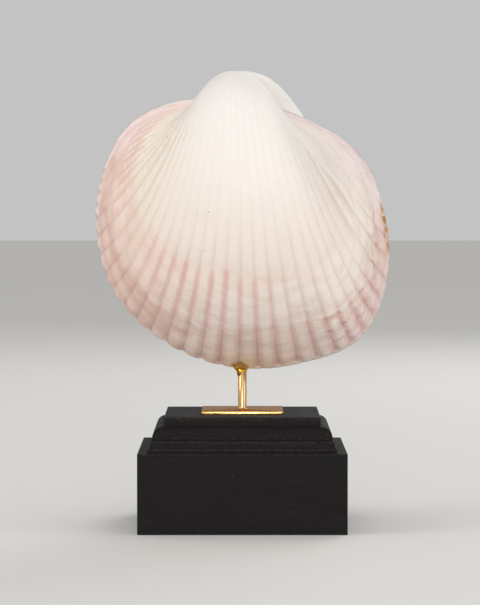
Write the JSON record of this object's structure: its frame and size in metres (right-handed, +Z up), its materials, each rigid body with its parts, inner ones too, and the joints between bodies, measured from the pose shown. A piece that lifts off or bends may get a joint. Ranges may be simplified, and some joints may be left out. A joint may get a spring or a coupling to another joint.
{
  "type": "giant heart cockle shell on display stand",
  "caption": "Ribbed, heart-shaped cockle shell with both hollow valves closed, glued by its lower edge to a short brass rod on a square plate and a moulded wooden plinth.",
  "frame": {"origin": "centre of the plinth's underside", "axes": "+Z up, front valve towards -Y, the shell's shorter end towards -X and its longer end towards +X"},
  "size_m": [0.1382, 0.1138, 0.2137],
  "materials": {
    "shell": "natural aragonite, cream to salmon pink, satin, finely ribbed",
    "glue": "clear amber glue, glossy",
    "brass": "polished",
    "plinth": "black painted, satin, edges slightly worn"
  },
  "bodies": {
    "root": {"left_valve": "shell", "right_valve": "shell", "glue": "glue", "brass_rod": "brass", "brass_plate": "brass", "plinth": "plinth"}
  },
  "joints": []
}
